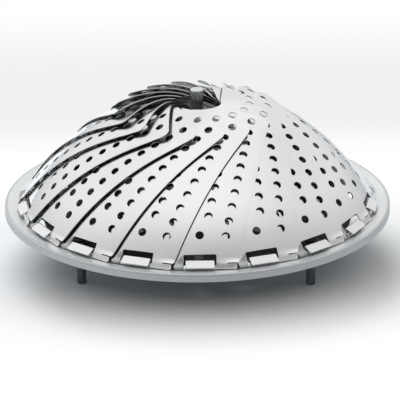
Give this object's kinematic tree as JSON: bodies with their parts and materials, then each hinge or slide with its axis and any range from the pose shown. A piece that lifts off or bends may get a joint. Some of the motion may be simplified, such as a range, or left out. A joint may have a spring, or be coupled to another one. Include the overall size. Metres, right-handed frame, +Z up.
{
  "type": "folding steamer basket",
  "caption": "Folding steamer basket: perforated overlapping leaves hinged round a dish on short rod legs, with a centre post; the leaves fold into a dome or open out into a bowl.",
  "frame": {"origin": "on the surface that the feet stand on, under the centre post", "axes": "+Z up along the centre post; -Y towards the picture's front, where leaf_01 is; +X to its right"},
  "size_m": [0.1794, 0.1794, 0.0843],
  "materials": {
    "dish_steel": "polished",
    "leaf_steel": "polished",
    "leg_steel": "satin",
    "washer_steel": "satin",
    "post_steel": "polished",
    "post_washer_steel": "satin",
    "nut_steel": "satin"
  },
  "bodies": {
    "base": {"dish": "dish_steel", "leg_1": "leg_steel", "leg_2": "leg_steel", "leg_3": "leg_steel", "leg_washer_1": "washer_steel", "leg_washer_2": "washer_steel", "leg_washer_3": "washer_steel", "centre_post": "post_steel", "post_washer": "post_washer_steel", "post_nut": "nut_steel"},
    "leaf_01": {"leaf_01": "leaf_steel"},
    "leaf_02": {"leaf_02": "leaf_steel"},
    "leaf_03": {"leaf_03": "leaf_steel"},
    "leaf_04": {"leaf_04": "leaf_steel"},
    "leaf_05": {"leaf_05": "leaf_steel"},
    "leaf_06": {"leaf_06": "leaf_steel"},
    "leaf_07": {"leaf_07": "leaf_steel"},
    "leaf_08": {"leaf_08": "leaf_steel"},
    "leaf_09": {"leaf_09": "leaf_steel"},
    "leaf_10": {"leaf_10": "leaf_steel"},
    "leaf_11": {"leaf_11": "leaf_steel"},
    "leaf_12": {"leaf_12": "leaf_steel"},
    "leaf_13": {"leaf_13": "leaf_steel"},
    "leaf_14": {"leaf_14": "leaf_steel"},
    "leaf_15": {"leaf_15": "leaf_steel"},
    "leaf_16": {"leaf_16": "leaf_steel"},
    "leaf_17": {"leaf_17": "leaf_steel"},
    "leaf_18": {"leaf_18": "leaf_steel"}
  },
  "joints": [
    {"name": "leaf_01_hinge", "type": "hinge", "parent": "base", "child": "leaf_01", "pos_m": [0, -0.0818, 0.03015], "axis": [1, 0, 0], "range_deg": [0, 100]},
    {"name": "leaf_02_hinge", "type": "hinge", "parent": "base", "child": "leaf_02", "pos_m": [0.02798, -0.07687, 0.03015], "axis": [0.9397, 0.342, 0], "range_deg": [0, 100]},
    {"name": "leaf_03_hinge", "type": "hinge", "parent": "base", "child": "leaf_03", "pos_m": [0.05258, -0.06266, 0.03015], "axis": [0.766, 0.6428, 0], "range_deg": [0, 100]},
    {"name": "leaf_04_hinge", "type": "hinge", "parent": "base", "child": "leaf_04", "pos_m": [0.07084, -0.0409, 0.03015], "axis": [0.5, 0.866, 0], "range_deg": [0, 100]},
    {"name": "leaf_05_hinge", "type": "hinge", "parent": "base", "child": "leaf_05", "pos_m": [0.08056, -0.0142, 0.03015], "axis": [0.1736, 0.9848, 0], "range_deg": [0, 100]},
    {"name": "leaf_06_hinge", "type": "hinge", "parent": "base", "child": "leaf_06", "pos_m": [0.08056, 0.0142, 0.03015], "axis": [-0.1736, 0.9848, 0], "range_deg": [0, 100]},
    {"name": "leaf_07_hinge", "type": "hinge", "parent": "base", "child": "leaf_07", "pos_m": [0.07084, 0.0409, 0.03015], "axis": [-0.5, 0.866, 0], "range_deg": [0, 100]},
    {"name": "leaf_08_hinge", "type": "hinge", "parent": "base", "child": "leaf_08", "pos_m": [0.05258, 0.06266, 0.03015], "axis": [-0.766, 0.6428, 0], "range_deg": [0, 100]},
    {"name": "leaf_09_hinge", "type": "hinge", "parent": "base", "child": "leaf_09", "pos_m": [0.02798, 0.07687, 0.03015], "axis": [-0.9397, 0.342, 0], "range_deg": [0, 100]},
    {"name": "leaf_10_hinge", "type": "hinge", "parent": "base", "child": "leaf_10", "pos_m": [0, 0.0818, 0.03015], "axis": [-1, 0, 0], "range_deg": [0, 100]},
    {"name": "leaf_11_hinge", "type": "hinge", "parent": "base", "child": "leaf_11", "pos_m": [-0.02798, 0.07687, 0.03015], "axis": [-0.9397, -0.342, 0], "range_deg": [0, 100]},
    {"name": "leaf_12_hinge", "type": "hinge", "parent": "base", "child": "leaf_12", "pos_m": [-0.05258, 0.06266, 0.03015], "axis": [-0.766, -0.6428, 0], "range_deg": [0, 100]},
    {"name": "leaf_13_hinge", "type": "hinge", "parent": "base", "child": "leaf_13", "pos_m": [-0.07084, 0.0409, 0.03015], "axis": [-0.5, -0.866, 0], "range_deg": [0, 100]},
    {"name": "leaf_14_hinge", "type": "hinge", "parent": "base", "child": "leaf_14", "pos_m": [-0.08056, 0.0142, 0.03015], "axis": [-0.1736, -0.9848, 0], "range_deg": [0, 100]},
    {"name": "leaf_15_hinge", "type": "hinge", "parent": "base", "child": "leaf_15", "pos_m": [-0.08056, -0.0142, 0.03015], "axis": [0.1736, -0.9848, 0], "range_deg": [0, 100]},
    {"name": "leaf_16_hinge", "type": "hinge", "parent": "base", "child": "leaf_16", "pos_m": [-0.07084, -0.0409, 0.03015], "axis": [0.5, -0.866, 0], "range_deg": [0, 100]},
    {"name": "leaf_17_hinge", "type": "hinge", "parent": "base", "child": "leaf_17", "pos_m": [-0.05258, -0.06266, 0.03015], "axis": [0.766, -0.6428, 0], "range_deg": [0, 100]},
    {"name": "leaf_18_hinge", "type": "hinge", "parent": "base", "child": "leaf_18", "pos_m": [-0.02798, -0.07687, 0.03015], "axis": [0.9397, -0.342, 0], "range_deg": [0, 100]}
  ],
  "couplings": [
    {"joint": "leaf_02_hinge", "follows": "leaf_01_hinge", "ratio": 1},
    {"joint": "leaf_03_hinge", "follows": "leaf_01_hinge", "ratio": 1},
    {"joint": "leaf_04_hinge", "follows": "leaf_01_hinge", "ratio": 1},
    {"joint": "leaf_05_hinge", "follows": "leaf_01_hinge", "ratio": 1},
    {"joint": "leaf_06_hinge", "follows": "leaf_01_hinge", "ratio": 1},
    {"joint": "leaf_07_hinge", "follows": "leaf_01_hinge", "ratio": 1},
    {"joint": "leaf_08_hinge", "follows": "leaf_01_hinge", "ratio": 1},
    {"joint": "leaf_09_hinge", "follows": "leaf_01_hinge", "ratio": 1},
    {"joint": "leaf_10_hinge", "follows": "leaf_01_hinge", "ratio": 1},
    {"joint": "leaf_11_hinge", "follows": "leaf_01_hinge", "ratio": 1},
    {"joint": "leaf_12_hinge", "follows": "leaf_01_hinge", "ratio": 1},
    {"joint": "leaf_13_hinge", "follows": "leaf_01_hinge", "ratio": 1},
    {"joint": "leaf_14_hinge", "follows": "leaf_01_hinge", "ratio": 1},
    {"joint": "leaf_15_hinge", "follows": "leaf_01_hinge", "ratio": 1},
    {"joint": "leaf_16_hinge", "follows": "leaf_01_hinge", "ratio": 1},
    {"joint": "leaf_17_hinge", "follows": "leaf_01_hinge", "ratio": 1},
    {"joint": "leaf_18_hinge", "follows": "leaf_01_hinge", "ratio": 1}
  ]
}
